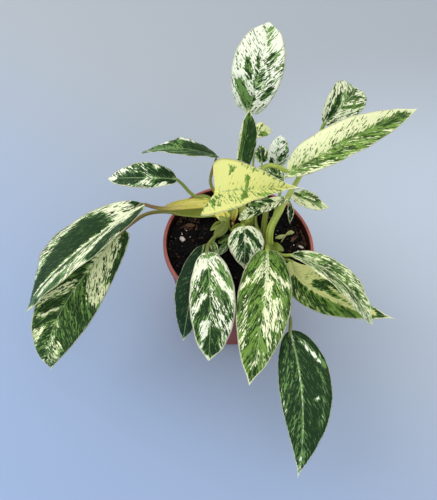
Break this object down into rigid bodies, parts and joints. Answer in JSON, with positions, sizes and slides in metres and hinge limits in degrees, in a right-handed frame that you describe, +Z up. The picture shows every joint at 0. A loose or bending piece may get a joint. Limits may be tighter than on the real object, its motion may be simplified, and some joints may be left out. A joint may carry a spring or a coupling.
{
  "type": "potted philodendron",
  "caption": "Variegated philodendron with cream and green leaves on arching stalks, growing in a terracotta-coloured plastic nursery pot filled with dark peat.",
  "frame": {"origin": "centre of the flat underside of the pot's base", "axes": "+Z up along the pot's axis, -Y towards the viewer of the picture, +X to that viewer's right"},
  "size_m": [0.2756, 0.2714, 0.2224],
  "materials": {
    "pot_plastic": "satin terracotta-coloured plastic",
    "peat": "moist crumbled peat",
    "perlite": "matt white grit",
    "bark": "rough brown bark",
    "stalk": "smooth yellow-green stalk",
    "seedling_green": "soft pale green",
    "leaf_variegated": "satin leaf, cream with green streaks",
    "leaf_dark": "satin dark green leaf",
    "leaf_yellow": "satin yellow-cream leaf",
    "leaf_new": "soft young leaf",
    "leaf_orange": "orange-red sheath leaf"
  },
  "bodies": {
    "root": {"pot": "pot_plastic", "soil": "peat", "perlite_left": "perlite", "perlite_right": "perlite", "bark_left": "bark", "bark_right": "bark", "seedling": "seedling_green", "shoot_left": "stalk", "shoot_middle": "stalk", "shoot_right": "stalk", "leaf_back_tall": "leaf_variegated", "leaf_back_narrow": "leaf_dark", "leaf_back_tiny": "leaf_yellow", "leaf_back_oval": "leaf_variegated", "leaf_back_bud": "leaf_new", "leaf_right_cupped": "leaf_variegated", "leaf_right_long": "leaf_yellow", "leaf_centre_yellow": "leaf_yellow", "leaf_left_upper": "leaf_variegated", "leaf_left_lower": "leaf_variegated", "leaf_left_oval": "leaf_variegated", "leaf_left_arched": "leaf_dark", "leaf_front_left": "leaf_variegated", "leaf_front_dark": "leaf_dark", "leaf_front_round": "leaf_variegated", "leaf_front_centre": "leaf_variegated", "leaf_front_right": "leaf_dark", "leaf_right_lower": "leaf_variegated", "leaf_right_folded": "leaf_variegated", "leaf_right_small": "leaf_variegated", "leaf_right_inner": "leaf_dark", "leaf_centre_speckled": "leaf_variegated", "leaf_back_speckled": "leaf_variegated", "leaf_new_pale": "leaf_new", "leaf_new_green": "leaf_dark", "leaf_new_white": "leaf_new", "leaf_young_orange": "leaf_orange"}
  },
  "joints": []
}
